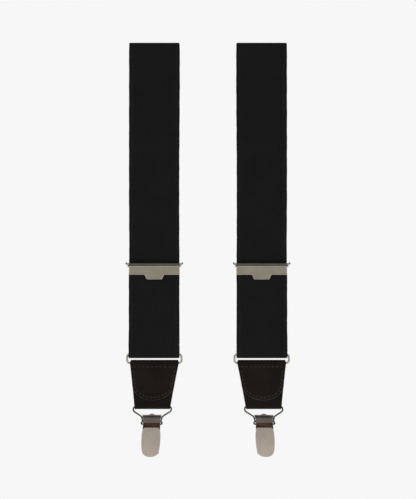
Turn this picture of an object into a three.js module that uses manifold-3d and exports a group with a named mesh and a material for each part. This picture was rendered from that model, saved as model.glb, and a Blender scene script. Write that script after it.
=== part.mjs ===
// Clip-on Y-back suspenders with leather ends, folded and hung over a bar.
// Millimetres, +Z up, front towards -Y. The origin is the middle of the top of the front folds.
// Each strap runs up the front, over the bar, down and up behind it, over again and down to the
// leather patch in the middle of the back, where the rear strap starts.
import * as THREE from 'three';
import { mergeVertices } from 'three/addons/utils/BufferGeometryUtils.js';
import Module from 'manifold-3d';

const wasm = await Module();
wasm.setup();

// ---- driving dimensions -------------------------------------------------------------------
const CLEAR = 0.3;                // gap between pieces that touch
const WEB_WIDTH = 35;             // elastic webbing
const WEB_THICK = 1.5;
const STRAP_SPACING = 74.6;       // between the middles of the two front straps
const RUN_TO_RING = 216;          // top of the fold to the middle of the ring's upper bar
const CORNER_RADIUS = 3;          // of the folds over the bar, at the middle of the webbing
const BAR_DEPTH = 17.5;           // front run to the first run behind the bar
const HIDDEN_RUN = 202;           // drop of the two runs behind the bar
const HIDDEN_SPACING = 6;         // between those two runs
const BACK_SPACING = 8;           // from them to the run that ends at the patch
const WRAP_END = 7;               // webbing that stands up behind the ring's bar

const CONVERGE_ANGLE = THREE.MathUtils.degToRad(29);
const CONVERGE_DROP = 90;         // height over which the back straps bend together
const CONVERGE_START = 8;         // below the fold
const PATCH_TOP = 78;
const PATCH_HEIGHT = 64;
const PATCH_HALF_TOP = 36;
const PATCH_HALF_BOTTOM = WEB_WIDTH / 2 + 2;
const PATCH_THICK = 1.2;
const SEAM_DEPTH = 121;           // where the back straps end and the rear strap starts
const REAR_TAIL = 28;             // sewn-back end of the rear strap

const RING_LENGTH = WEB_WIDTH + 4.3;
const RING_HEIGHT = 8;
const RING_WIRE = 1.4;
const RING_CORNER = 2.6;

const LEATHER_THICK = 1;
const TAB_LENGTH = 30;            // ring's lower bar to the bail's bar
const TAB_HALF_TOP = WEB_WIDTH / 2 - 0.5;
const TAB_HALF_BOTTOM = TAB_HALF_TOP - 4.7;
const TAB_MIDDLE_THICK = 2 * LEATHER_THICK + CLEAR;   // where the two layers are sewn together
const FLAP_THICK = 0.9;
const FLAP_SIDE = 13.8;           // straight side of the front flap
const FLAP_ROUND = 11.8;          // depth of its rounded end
const LEAN_OUT = 0.045;           // sideways per millimetre down, as the front ends hang outwards

const BAIL_WIRE = 1.1;
const BAIL_HALF_WIDTH = TAB_HALF_BOTTOM - 0.3 + BAIL_WIRE;
const BAIL_NECK_HALF = 7.4;       // where it runs down beside the clip
const BAIL_TO_CLIP = 12.3;        // bail's bar to its pivot in the clip
const BAIL_TO_HOOD = 6.8;         // bail's bar to the flat top of the hood

const SHEET = 0.8;                // pressed metal of the clip
const HOOD_RADIUS = 2.8;
const HOOD_HALF = 6.65;
const NECK_HALF = 5.4;
const CLIP_LENGTH = 28.5;         // top of the hood to the bottom of the back plate
const EAR_INSIDE = 5.35;
const EAR_SHEET = 0.7;
const PIN_WIRE = 1;
const PIN_DROP = 2.9;             // bail pivot to the cover's pin
const PIN_FORWARD = 1.65;
const PIN_BOSS = 1.05;            // radius of the ear round the pin, inside the cover's sweep
const COVER_ABOVE_PIN = 0.8;
const COVER_LENGTH = 20.6;
const COVER_HALF = 6.65;
const COVER_TOP_HALF = 4.45;
const COVER_FRONT = 4.4;
const COVER_DOME = 0.7;
const TONGUE_THICK = 0.6;
const TONGUE_FORWARD = 0.9;
const TONGUE_DROP = 6.3;          // bail pivot to the tongue's trunnions
const TONGUE_LENGTH = 14.4;
const TRUNNION_RADIUS = 0.4;
const PAD_HALF = 4.9;
const PAD_HEIGHT = 8;
const PAD_THICK = 1;
const RIB_COUNT = 5;

const ADJUSTER_DROP = 153.6;      // top of the fold to the lever's pin
const LEVER_HALF = WEB_WIDTH / 2 + 0.15;
const LEVER_HEIGHT = 7.8;         // pin to the plate's lower edge
const LEVER_THICK = 0.8;
const FINGER_HEIGHT = 3.1;
const FINGER_HALF_TOP = 6.8;
const FINGER_HALF_BOTTOM = 5.4;
const ADJUSTER_PIN_WIRE = 1.2;
const ADJUSTER_EAR_HEIGHT = 2.7;
const CHANNEL_DEPTH = 8;          // of the channel that the strap's end is crimped in
const CHANNEL_HALF = WEB_WIDTH / 2 - 0.5;
const TAIL_BELOW_PIN = WEB_THICK - 0.5;   // so that its square end clears the channel's bend
const TOOTH_COUNT = 12;
const TOOTH_HEIGHT = 0.45;

// ---- values worked out from them ----------------------------------------------------------
const HALF_WEB = WEB_WIDTH / 2;
const STRAP_X = STRAP_SPACING / 2;
const TOP_MIDDLE = -WEB_THICK / 2;
const RUN_2 = BAR_DEPTH;
const RUN_3 = RUN_2 + HIDDEN_SPACING;
const BACK_Y = RUN_3 + BACK_SPACING;
const WRAP_RADIUS = RING_WIRE / 2 + CLEAR + WEB_THICK / 2;
const RING_PITCH = RING_HEIGHT - RING_WIRE;
const HOOD_TOP = BAIL_TO_CLIP - BAIL_TO_HOOD;
const CORNER_STEPS = 5;

// ---- materials ----------------------------------------------------------------------------
const finish = (color, roughness, metalness = 0) =>
  new THREE.MeshStandardMaterial({ color, roughness, metalness });
const webbing = finish('#1a1a1a', 0.9);
const leather = finish('#1d1814', 0.5);
const nickel = finish('#a09688', 0.35, 1);
const wire = finish('#8d877c', 0.25, 1);
const plastic = finish('#d8d4c8', 0.5);

// ---- helpers ------------------------------------------------------------------------------
/** A closed geometry as a solid that can be joined and cut. */
function solid(geometry) {
  geometry.deleteAttribute('normal');
  geometry.deleteAttribute('uv');
  const merged = mergeVertices(geometry, 1e-4);
  return new wasm.Manifold(new wasm.Mesh({
    numProp: 3,
    vertProperties: new Float32Array(merged.attributes.position.array),
    triVerts: new Uint32Array(merged.index.array),
  }));
}

/** A solid as a named mesh. */
function piece(name, body, material) {
  const { vertProperties, triVerts } = body.getMesh();
  const geometry = new THREE.BufferGeometry();
  geometry.setAttribute('position', new THREE.BufferAttribute(new Float32Array(vertProperties), 3));
  geometry.setIndex(new THREE.BufferAttribute(new Uint32Array(triVerts), 1));
  geometry.computeVertexNormals();
  const mesh = new THREE.Mesh(geometry, material);
  mesh.name = name;
  return mesh;
}

const AXIS_X = new THREE.Vector3(1, 0, 0);
const AXIS_Y = new THREE.Vector3(0, 1, 0);
const AXIS_Z = new THREE.Vector3(0, 0, 1);

/** A side view (y, z) carried along X from low to high. */
function acrossX(shape, low, high, curveSegments = CORNER_STEPS) {
  const geometry = new THREE.ExtrudeGeometry(shape, { depth: high - low, bevelEnabled: false, curveSegments });
  geometry.applyMatrix4(new THREE.Matrix4().makeBasis(AXIS_Y, AXIS_Z, AXIS_X).setPosition(low, 0, 0));
  return solid(geometry);
}

/** A front view (x, z) carried along Y from low to high. */
function throughY(shape, low, high, curveSegments = CORNER_STEPS) {
  const geometry = new THREE.ExtrudeGeometry(shape, { depth: high - low, bevelEnabled: false, curveSegments });
  const backwards = AXIS_Y.clone().negate();
  geometry.applyMatrix4(new THREE.Matrix4().makeBasis(AXIS_X, AXIS_Z, backwards).setPosition(0, high, 0));
  return solid(geometry);
}

/** Leans a hanging mesh to the side: the lower a point, the further it moves along X. */
function leaning(mesh, share) {
  mesh.geometry.applyMatrix4(new THREE.Matrix4().makeShear(0, 0, 0, 0, share, 0));
  return mesh;
}

/** A cylinder along X at (y, z). */
function rod(radius, low, high, y, z, sides = 12) {
  const geometry = new THREE.CylinderGeometry(radius, radius, high - low, sides);
  geometry.rotateZ(Math.PI / 2);
  geometry.translate((low + high) / 2, y, z);
  return solid(geometry);
}

function box(lowX, highX, lowY, highY, lowZ, highZ) {
  const geometry = new THREE.BoxGeometry(highX - lowX, highY - lowY, highZ - lowZ);
  geometry.translate((lowX + highX) / 2, (lowY + highY) / 2, (lowZ + highZ) / 2);
  return solid(geometry);
}

/** The outline of a strip of the given thickness along a middle line. */
function stripShape(path, thickness) {
  const points = path.getPoints(CORNER_STEPS);
  const near = [];
  const far = [];
  points.forEach((point, i) => {
    const before = points[Math.max(i - 1, 0)];
    const after = points[Math.min(i + 1, points.length - 1)];
    const into = point.clone().sub(before).normalize();
    const out = after.clone().sub(point).normalize();
    const along = into.add(out).normalize();
    const side = new THREE.Vector2(-along.y, along.x).multiplyScalar(thickness / 2);
    near.push(point.clone().add(side));
    far.push(point.clone().sub(side));
  });
  return new THREE.Shape([...near, ...far.reverse()]);
}

/** A round wire along open points, with 8 sides. */
function wireAlong(points, diameter, steps) {
  const section = new THREE.Shape();
  section.absarc(0, 0, diameter / 2, 0, 2 * Math.PI);
  const extrudePath = new THREE.CatmullRomCurve3(points, false, 'catmullrom', 0.3);
  return solid(new THREE.ExtrudeGeometry(section, { steps, extrudePath, curveSegments: 4 }));
}

/** A rounded rectangle about (x, z), drawn on a shape or a hole. */
function roundedRectangle(outline, halfX, halfZ, radius) {
  const x = halfX - radius;
  const z = halfZ - radius;
  outline.absarc(x, z, radius, 0, Math.PI / 2);
  outline.absarc(-x, z, radius, Math.PI / 2, Math.PI);
  outline.absarc(-x, -z, radius, Math.PI, 1.5 * Math.PI);
  outline.absarc(x, -z, radius, 1.5 * Math.PI, 2 * Math.PI);
  outline.closePath();
  return outline;
}

// ---- webbing ------------------------------------------------------------------------------
/** Side view of a front strap, from behind the ring to the start of the back run. */
function strapPath() {
  const path = new THREE.Path();
  const backOfWrap = 2 * WRAP_RADIUS;
  const cornerZ = TOP_MIDDLE - CORNER_RADIUS;
  const turn = HIDDEN_SPACING / 2;
  path.moveTo(backOfWrap, WRAP_END - RUN_TO_RING);
  path.lineTo(backOfWrap, -RUN_TO_RING);
  path.absarc(WRAP_RADIUS, -RUN_TO_RING, WRAP_RADIUS, 0, -Math.PI, true);
  path.lineTo(0, cornerZ);
  path.absarc(CORNER_RADIUS, cornerZ, CORNER_RADIUS, Math.PI, Math.PI / 2, true);
  path.absarc(RUN_2 - CORNER_RADIUS, cornerZ, CORNER_RADIUS, Math.PI / 2, 0, true);
  path.lineTo(RUN_2, -HIDDEN_RUN);
  path.absarc(RUN_2 + turn, -HIDDEN_RUN, turn, Math.PI, 2 * Math.PI, false);
  path.lineTo(RUN_3, cornerZ);
  path.absarc(RUN_3 + CORNER_RADIUS, cornerZ, CORNER_RADIUS, Math.PI, Math.PI / 2, true);
  path.absarc(BACK_Y - CORNER_RADIUS, cornerZ, CORNER_RADIUS, Math.PI / 2, 0, true);
  path.lineTo(BACK_Y, -CONVERGE_START);
  return path;
}

/** Back view of the run that bends in to the patch; side is -1 or 1. */
function convergePath(side) {
  const radius = CONVERGE_DROP / Math.sin(CONVERGE_ANGLE);
  const path = new THREE.Path();
  const steps = 8;
  path.moveTo(side * STRAP_X, -CONVERGE_START / 2);
  for (let i = 0; i <= steps; i += 1) {
    const angle = (CONVERGE_ANGLE * i) / steps;
    const inwards = radius * (1 - Math.cos(angle));
    path.lineTo(side * (STRAP_X - inwards), -CONVERGE_START - radius * Math.sin(angle));
  }
  const endX = STRAP_X - radius * (1 - Math.cos(CONVERGE_ANGLE));
  const overrun = 1.5 * HALF_WEB;
  path.lineTo(
    side * (endX - overrun * Math.sin(CONVERGE_ANGLE)),
    -CONVERGE_START - CONVERGE_DROP - overrun * Math.cos(CONVERGE_ANGLE),
  );
  return path;
}

function frontStrap(side) {
  const middle = side * STRAP_X;
  const folded = acrossX(stripShape(strapPath(), WEB_THICK), middle - HALF_WEB, middle + HALF_WEB);
  const backRun = throughY(
    stripShape(convergePath(side), WEB_WIDTH),
    BACK_Y - WEB_THICK / 2,
    BACK_Y + WEB_THICK / 2,
  );
  const reach = STRAP_SPACING;
  const inner = CLEAR / 2;
  const half = side > 0
    ? box(inner, reach, 0, 2 * BACK_Y, -SEAM_DEPTH, 0)
    : box(-reach, -inner, 0, 2 * BACK_Y, -SEAM_DEPTH, 0);
  return folded.add(backRun.intersect(half));
}

/** The strap's end, from the ring up to the adjuster's channel. */
function strapTail(side) {
  const path = new THREE.Path();
  path.moveTo(2 * WRAP_RADIUS, WRAP_END + CLEAR - RUN_TO_RING);
  path.lineTo(channelMiddle(), -ADJUSTER_DROP - CHANNEL_DEPTH);
  path.lineTo(channelMiddle(), -ADJUSTER_DROP - TAIL_BELOW_PIN);
  const middle = side * STRAP_X;
  const half = CHANNEL_HALF - CLEAR;
  return acrossX(stripShape(path, WEB_THICK), middle - half, middle + half);
}

function rearStrap() {
  const bar = BACK_Y - WRAP_RADIUS;
  const inner = BACK_Y - 2 * WRAP_RADIUS;
  const sewn = BACK_Y - WEB_THICK - CLEAR;
  const path = new THREE.Path();
  path.moveTo(BACK_Y, -SEAM_DEPTH - CLEAR);
  path.lineTo(BACK_Y, -RUN_TO_RING);
  path.absarc(bar, -RUN_TO_RING, WRAP_RADIUS, 0, -Math.PI, true);
  path.lineTo(inner, WRAP_RADIUS - RUN_TO_RING);
  path.lineTo(sewn, WRAP_RADIUS + REAR_TAIL / 2 - RUN_TO_RING);
  path.lineTo(sewn, REAR_TAIL - RUN_TO_RING);
  return acrossX(stripShape(path, WEB_THICK), -HALF_WEB, HALF_WEB);
}

/** One leather layer of the back patch, a shield with its point cut off. */
function patchLayer(low) {
  const shape = new THREE.Shape();
  const bottom = -PATCH_TOP - PATCH_HEIGHT;
  const corner = 5;
  shape.moveTo(0, -PATCH_TOP);
  shape.lineTo(PATCH_HALF_TOP - 3 * corner, -PATCH_TOP);
  shape.quadraticCurveTo(PATCH_HALF_TOP, -PATCH_TOP, PATCH_HALF_TOP, -PATCH_TOP - 3 * corner);
  shape.quadraticCurveTo(PATCH_HALF_BOTTOM, bottom + 5 * corner, PATCH_HALF_BOTTOM, bottom + corner);
  shape.quadraticCurveTo(PATCH_HALF_BOTTOM, bottom, PATCH_HALF_BOTTOM - corner, bottom);
  shape.lineTo(corner - PATCH_HALF_BOTTOM, bottom);
  shape.quadraticCurveTo(-PATCH_HALF_BOTTOM, bottom, -PATCH_HALF_BOTTOM, bottom + corner);
  shape.quadraticCurveTo(-PATCH_HALF_BOTTOM, bottom + 5 * corner, -PATCH_HALF_TOP, -PATCH_TOP - 3 * corner);
  shape.quadraticCurveTo(-PATCH_HALF_TOP, -PATCH_TOP, 3 * corner - PATCH_HALF_TOP, -PATCH_TOP);
  return throughY(shape, low, low + PATCH_THICK);
}

// ---- adjuster, about the middle of the webbing at the pin's height -------------------------
const PLATE_BACK = -WEB_THICK / 2 - 2.5 * CLEAR;
const ADJUSTER_PIN_Y = PLATE_BACK - LEVER_THICK - CLEAR;
const EAR_IN = HALF_WEB + 0.5;
const EAR_OUT = EAR_IN + SHEET;
const FRAME_FRONT = WEB_THICK / 2 + CLEAR;

function channelMiddle() {
  return WEB_THICK / 2 + CLEAR + SHEET + CLEAR + WEB_THICK / 2;
}

/** The frame: a folded channel behind the webbing, with an ear at each side. */
function adjusterFrame() {
  const middle = channelMiddle();
  const half = WEB_THICK / 2 + CLEAR + SHEET / 2;
  const path = new THREE.Path();
  const bend = -half - 0.2;
  path.moveTo(middle - half, -CHANNEL_DEPTH);
  path.lineTo(middle - half, bend);
  path.absarc(middle, bend, half, Math.PI, 0, true);
  path.lineTo(middle + half, -CHANNEL_DEPTH);
  const channel = acrossX(stripShape(path, SHEET), -CHANNEL_HALF, CHANNEL_HALF);
  const earTop = ADJUSTER_EAR_HEIGHT / 2;
  const flange = box(-EAR_OUT, EAR_OUT, FRAME_FRONT, FRAME_FRONT + SHEET, -3 * earTop, -earTop / 2);
  const earFront = ADJUSTER_PIN_Y - ADJUSTER_PIN_WIRE;
  const ears = [-1, 1].map((side) => box(
    Math.min(side * EAR_IN, side * EAR_OUT), Math.max(side * EAR_IN, side * EAR_OUT),
    earFront, FRAME_FRONT + SHEET, -3 * earTop, earTop,
  ).subtract(box(-2 * EAR_OUT, 2 * EAR_OUT, earFront - 1, -WEB_THICK / 2, -4 * earTop, -earTop)));
  const hole = rod(ADJUSTER_PIN_WIRE / 2 + CLEAR / 2, -2 * EAR_OUT, 2 * EAR_OUT, ADJUSTER_PIN_Y, 0);
  return channel.add(flange).add(ears[0]).add(ears[1]).subtract(hole);
}

/** The flip lever: a plate rolled round the pin, with a finger tab and gripping teeth. */
function adjusterLever() {
  const inner = ADJUSTER_PIN_WIRE / 2 + CLEAR;
  const outer = inner + 0.6;
  const curl = new THREE.Path();
  curl.absarc(ADJUSTER_PIN_Y, 0, (inner + outer) / 2, -0.5 * Math.PI, 1.2 * Math.PI, false);
  const rolled = acrossX(stripShape(curl, outer - inner), -LEVER_HALF, LEVER_HALF);
  const outline = new THREE.Shape();
  const corner = 1;
  outline.moveTo(-LEVER_HALF, -inner);
  outline.lineTo(-LEVER_HALF, corner - LEVER_HEIGHT);
  outline.quadraticCurveTo(-LEVER_HALF, -LEVER_HEIGHT, corner - LEVER_HALF, -LEVER_HEIGHT);
  outline.lineTo(-FINGER_HALF_TOP, -LEVER_HEIGHT);
  outline.lineTo(-FINGER_HALF_BOTTOM, -LEVER_HEIGHT - FINGER_HEIGHT);
  outline.lineTo(FINGER_HALF_BOTTOM, -LEVER_HEIGHT - FINGER_HEIGHT);
  outline.lineTo(FINGER_HALF_TOP, -LEVER_HEIGHT);
  outline.lineTo(LEVER_HALF - corner, -LEVER_HEIGHT);
  outline.quadraticCurveTo(LEVER_HALF, -LEVER_HEIGHT, LEVER_HALF, corner - LEVER_HEIGHT);
  outline.lineTo(LEVER_HALF, -inner);
  const plate = throughY(outline, PLATE_BACK - LEVER_THICK, PLATE_BACK, 4);
  let lever = rolled.add(plate);
  const pitch = (2 * LEVER_HALF - 4) / TOOTH_COUNT;
  for (let i = 0; i < TOOTH_COUNT; i += 1) {
    const x = (i + 0.5 - TOOTH_COUNT / 2) * pitch;
    const tooth = new THREE.Shape([
      new THREE.Vector2(PLATE_BACK - LEVER_THICK / 2, -outer - 0.4),
      new THREE.Vector2(PLATE_BACK + TOOTH_HEIGHT, -outer - 1),
      new THREE.Vector2(PLATE_BACK - LEVER_THICK / 2, -outer - 1.8),
    ]);
    lever = lever.add(acrossX(tooth, x - pitch / 4, x + pitch / 4));
  }
  return lever;
}

function adjuster(name, side) {
  const group = new THREE.Group();
  group.position.set(side * STRAP_X, 0, -ADJUSTER_DROP);
  const pinHalf = EAR_OUT + 0.85;
  group.add(
    piece(`${name}_adjuster_frame`, adjusterFrame(), nickel),
    piece(`${name}_adjuster_pin`, rod(ADJUSTER_PIN_WIRE / 2, -pinHalf, pinHalf, ADJUSTER_PIN_Y, 0), wire),
    piece(`${name}_adjuster_lever`, adjusterLever(), nickel),
  );
  return group;
}

// ---- ring, leather tab and bail -----------------------------------------------------------
/** The ring: a rounded rectangle of wire with an eight-sided section. */
function ring() {
  const bevel = RING_WIRE * 0.29;
  const shape = roundedRectangle(
    new THREE.Shape(), RING_LENGTH / 2 - bevel, RING_HEIGHT / 2 - bevel, RING_CORNER - bevel,
  );
  shape.holes.push(roundedRectangle(
    new THREE.Path(),
    RING_LENGTH / 2 - RING_WIRE + bevel, RING_HEIGHT / 2 - RING_WIRE + bevel, RING_CORNER - RING_WIRE + bevel,
  ));
  const geometry = new THREE.ExtrudeGeometry(shape, {
    depth: RING_WIRE - 2 * bevel, bevelThickness: bevel, bevelSize: bevel, bevelSegments: 1, curveSegments: 3,
  });
  geometry.translate(0, 0, bevel - RING_WIRE / 2);
  geometry.rotateX(Math.PI / 2);
  geometry.translate(0, 0, RING_WIRE / 2 - RING_HEIGHT / 2);
  return solid(geometry);
}

/** The leather tab: one strip round the ring and the bail, its rounded end sewn down in front. */
function leatherTab() {
  const ringFold = RING_WIRE / 2 + CLEAR;
  const bailFold = BAIL_WIRE / 2 + CLEAR;
  const top = ringFold + LEATHER_THICK;
  const bottom = bailFold + LEATHER_THICK;
  const half = TAB_MIDDLE_THICK / 2;
  const side = new THREE.Shape();
  side.absarc(0, 0, top, 0, Math.PI, false);
  side.lineTo(-half, -5);
  side.lineTo(-half, 4 - TAB_LENGTH);
  side.absarc(0, -TAB_LENGTH, bottom, Math.PI, 2 * Math.PI, false);
  side.lineTo(half, 4 - TAB_LENGTH);
  side.lineTo(half, -5);
  const ringHole = new THREE.Path();
  ringHole.absarc(0, 0, ringFold, 0, Math.PI, false);
  ringHole.lineTo(0, -4);
  const bailHole = new THREE.Path();
  bailHole.absarc(0, -TAB_LENGTH, bailFold, Math.PI, 2 * Math.PI, false);
  bailHole.lineTo(0, 3 - TAB_LENGTH);
  side.holes.push(ringHole, bailHole);

  const outline = new THREE.Shape();
  const foot = -TAB_LENGTH - bottom;
  const waist = (TAB_HALF_TOP + TAB_HALF_BOTTOM) / 2 - 0.4;
  outline.moveTo(0.8 - TAB_HALF_TOP, top);
  outline.lineTo(TAB_HALF_TOP - 0.8, top);
  outline.lineTo(TAB_HALF_TOP, top - 1.2);
  outline.quadraticCurveTo(waist, foot / 2, TAB_HALF_BOTTOM, foot);
  outline.lineTo(-TAB_HALF_BOTTOM, foot);
  outline.quadraticCurveTo(-waist, foot / 2, -TAB_HALF_TOP, top - 1.2);
  const tab = acrossX(side, -TAB_HALF_TOP, TAB_HALF_TOP).intersect(throughY(outline, -top, top));

  const flapOutline = new THREE.Shape();
  flapOutline.moveTo(-TAB_HALF_TOP, 0);
  flapOutline.lineTo(-TAB_HALF_TOP, -FLAP_SIDE);
  flapOutline.absellipse(0, -FLAP_SIDE, TAB_HALF_TOP - 2.2, FLAP_ROUND, Math.PI, 2 * Math.PI, false, 0);
  flapOutline.lineTo(TAB_HALF_TOP, -FLAP_SIDE);
  flapOutline.lineTo(TAB_HALF_TOP, 0);
  const flap = throughY(flapOutline, -half - FLAP_THICK, -half + 0.2).intersect(throughY(outline, -top, 0));
  return tab.add(flap);
}

/** The bail: a wire loop through the tab, its ends turned into the clip's ears. */
function bail() {
  const neck = -TAB_LENGTH - BAIL_TO_CLIP;
  const end = EAR_INSIDE - 0.3;
  const right = [
    [BAIL_HALF_WIDTH - 2, 0, -TAB_LENGTH],
    [BAIL_HALF_WIDTH - 0.4, 0, -TAB_LENGTH - 0.4],
    [BAIL_HALF_WIDTH, 0, -TAB_LENGTH - 1.8],
    [BAIL_HALF_WIDTH - 0.2, 0, -TAB_LENGTH - 3],
    [BAIL_HALF_WIDTH - 1.4, 0, -TAB_LENGTH - 4.1],
    [BAIL_NECK_HALF + 0.9, 0, -TAB_LENGTH - 6.9],
    [BAIL_NECK_HALF, 0, -TAB_LENGTH - 8],
    [BAIL_NECK_HALF, 0, neck + 1],
    [BAIL_NECK_HALF - 0.5, 0, neck + 0.1],
    [BAIL_NECK_HALF - 1.3, 0, neck],
    [end, 0, neck],
  ].map(([x, y, z]) => new THREE.Vector3(x, y, z));
  const left = right.map((p) => new THREE.Vector3(-p.x, p.y, p.z));
  return wireAlong([...left.reverse(), ...right], BAIL_WIRE, 52);
}

// ---- clip, about the bail's pivot ---------------------------------------------------------
/** The clip's body: a hood rolled over the top, the back plate and an ear at each side. */
function clipBody() {
  const hoodMiddle = HOOD_TOP - HOOD_RADIUS + 1;
  const middleRadius = HOOD_RADIUS - SHEET / 2;
  const bottom = HOOD_TOP + 1 - CLIP_LENGTH;
  const path = new THREE.Path();
  path.moveTo(middleRadius, bottom);
  path.lineTo(middleRadius, hoodMiddle);
  path.absarc(0, hoodMiddle, middleRadius, 0, Math.PI, false);
  path.lineTo(-middleRadius, 0.9);
  const rolled = acrossX(stripShape(path, SHEET), -HOOD_HALF, HOOD_HALF);
  const outline = new THREE.Shape();
  const plateHalf = COVER_HALF - 0.5;
  outline.moveTo(-HOOD_HALF, HOOD_TOP + 1);
  outline.lineTo(HOOD_HALF, HOOD_TOP + 1);
  outline.lineTo(HOOD_HALF, HOOD_TOP - 0.4);
  outline.lineTo(NECK_HALF, 0.9);
  outline.lineTo(NECK_HALF, -2);
  outline.lineTo(plateHalf, -6);
  outline.lineTo(plateHalf - 0.6, bottom + 3);
  outline.quadraticCurveTo(plateHalf - 1, bottom, plateHalf - 3.5, bottom);
  outline.lineTo(3.5 - plateHalf, bottom);
  outline.quadraticCurveTo(1 - plateHalf, bottom, 0.6 - plateHalf, bottom + 3);
  outline.lineTo(-plateHalf, -6);
  outline.lineTo(-NECK_HALF, -2);
  outline.lineTo(-NECK_HALF, 0.9);
  outline.lineTo(-HOOD_HALF, HOOD_TOP - 0.4);
  const reach = 2 * HOOD_RADIUS;
  const shell = rolled.intersect(throughY(outline, -reach, reach));
  const earTop = 2.4;
  const earBottom = -TONGUE_DROP - 1.6;
  const earOutline = new THREE.Shape();
  earOutline.moveTo(middleRadius, earTop);
  earOutline.lineTo(-1.2, earTop);
  earOutline.lineTo(-1.3, 0.3);
  earOutline.lineTo(-1.15, -0.45);
  earOutline.lineTo(-0.75, -0.85);
  earOutline.lineTo(-0.3, -1.15);
  earOutline.absarc(-PIN_FORWARD, -PIN_DROP, PIN_BOSS, 0.3 * Math.PI, 1.25 * Math.PI, false);
  earOutline.lineTo(-TONGUE_FORWARD - 1.2, -TONGUE_DROP + 1);
  earOutline.lineTo(-TONGUE_FORWARD - 1.2, -TONGUE_DROP - 0.3);
  earOutline.lineTo(-TONGUE_FORWARD - 0.6, earBottom);
  earOutline.lineTo(middleRadius, earBottom);
  const bailHole = rod(BAIL_WIRE / 2 + CLEAR, -reach * 2, reach * 2, 0, 0);
  const pinHole = rod(PIN_WIRE / 2 + CLEAR / 2, -reach * 2, reach * 2, -PIN_FORWARD, -PIN_DROP);
  const trunnionHole = rod(TRUNNION_RADIUS + CLEAR, -reach * 2, reach * 2, -TONGUE_FORWARD, -TONGUE_DROP);
  const ears = [-EAR_INSIDE - EAR_SHEET, EAR_INSIDE]
    .map((low) => acrossX(earOutline, low, low + EAR_SHEET)
      .subtract(bailHole).subtract(pinHole).subtract(trunnionHole));
  const knob = new THREE.CylinderGeometry(1.8, 1.8, 1.6, 16);
  knob.translate(0, 0, HOOD_TOP + 0.3);
  return shell.add(ears[0]).add(ears[1]).add(solid(knob));
}

/** The cover: a domed oval plate with two lugs on the pin. */
function clipCover() {
  const top = -PIN_DROP + COVER_ABOVE_PIN;
  const bottom = top - COVER_LENGTH;
  const middle = (top + bottom) / 2;
  const side = new THREE.Shape();
  side.moveTo(-COVER_FRONT + COVER_DOME, top);
  side.quadraticCurveTo(-COVER_FRONT - COVER_DOME, middle, -COVER_FRONT + COVER_DOME, bottom);
  side.lineTo(-COVER_FRONT + COVER_DOME + SHEET, bottom);
  side.quadraticCurveTo(-COVER_FRONT - COVER_DOME + SHEET, middle, -COVER_FRONT + COVER_DOME + SHEET, top);
  const outline = new THREE.Shape();
  outline.moveTo(0, top);
  outline.lineTo(COVER_TOP_HALF, top);
  outline.bezierCurveTo(5.7, top - 0.1, COVER_HALF, top - 1.9, COVER_HALF, top - 5);
  outline.bezierCurveTo(COVER_HALF, top - 10, COVER_HALF - 0.4, top - 14, COVER_HALF - 0.9, top - 17);
  outline.bezierCurveTo(COVER_HALF - 1.3, bottom + 0.9, 3.2, bottom, 0, bottom);
  outline.bezierCurveTo(-3.2, bottom, 1.3 - COVER_HALF, bottom + 0.9, 0.9 - COVER_HALF, top - 17);
  outline.bezierCurveTo(0.4 - COVER_HALF, top - 14, -COVER_HALF, top - 10, -COVER_HALF, top - 5);
  outline.bezierCurveTo(-COVER_HALF, top - 1.9, -5.7, top - 0.1, -COVER_TOP_HALF, top);
  const plate = acrossX(side, -COVER_HALF, COVER_HALF, 8)
    .intersect(throughY(outline, -2 * COVER_FRONT, 0, 6));
  const lugRadius = PIN_BOSS + 0.2;
  const lugOutline = new THREE.Shape();
  lugOutline.moveTo(-COVER_FRONT + COVER_DOME, top - 5);
  lugOutline.lineTo(-PIN_FORWARD + 0.5, -PIN_DROP - lugRadius);
  lugOutline.absarc(-PIN_FORWARD, -PIN_DROP, lugRadius, -0.35 * Math.PI, 0.55 * Math.PI, false);
  lugOutline.lineTo(-COVER_FRONT + COVER_DOME + SHEET / 2, top - 0.1);
  const hole = rod(PIN_WIRE / 2 + CLEAR, -COVER_HALF, COVER_HALF, -PIN_FORWARD, -PIN_DROP);
  const lugOut = EAR_INSIDE - CLEAR;
  const lugs = [-lugOut, lugOut - EAR_SHEET]
    .map((low) => acrossX(lugOutline, low, low + EAR_SHEET).subtract(hole));
  return plate.add(lugs[0]).add(lugs[1]);
}

/** The tongue: the front jaw, on two trunnions in the body's ears. */
function clipTongue() {
  const y = -TONGUE_FORWARD;
  const half = PAD_HALF;
  const plate = box(
    -half, half, y - TONGUE_THICK / 2, y + TONGUE_THICK / 2, -TONGUE_DROP - TONGUE_LENGTH, -TONGUE_DROP,
  );
  const roll = rod(0.7, -half, half, y, -TONGUE_DROP, 10);
  const trunnion = rod(TRUNNION_RADIUS, -EAR_INSIDE - EAR_SHEET, EAR_INSIDE + EAR_SHEET, y, -TONGUE_DROP, 10);
  return plate.add(roll).add(trunnion);
}

/** A ribbed grip pad between low and high; ribs stand towards the other pad. */
function gripPad(low, high, ribSide) {
  const bottom = -TONGUE_DROP - TONGUE_LENGTH;
  const ribStep = PAD_HEIGHT / RIB_COUNT;
  const ribDepth = 0.25;
  const face = ribSide > 0 ? high - ribDepth : low + ribDepth;
  const back = ribSide > 0 ? low : high;
  const profile = new THREE.Shape();
  profile.moveTo(back, bottom);
  for (let i = 0; i < RIB_COUNT; i += 1) {
    profile.lineTo(face, bottom + i * ribStep);
    profile.lineTo(face + ribSide * ribDepth, bottom + (i + 0.5) * ribStep);
  }
  profile.lineTo(face, bottom + PAD_HEIGHT);
  profile.lineTo(back, bottom + PAD_HEIGHT);
  return acrossX(profile, -PAD_HALF, PAD_HALF);
}

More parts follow.
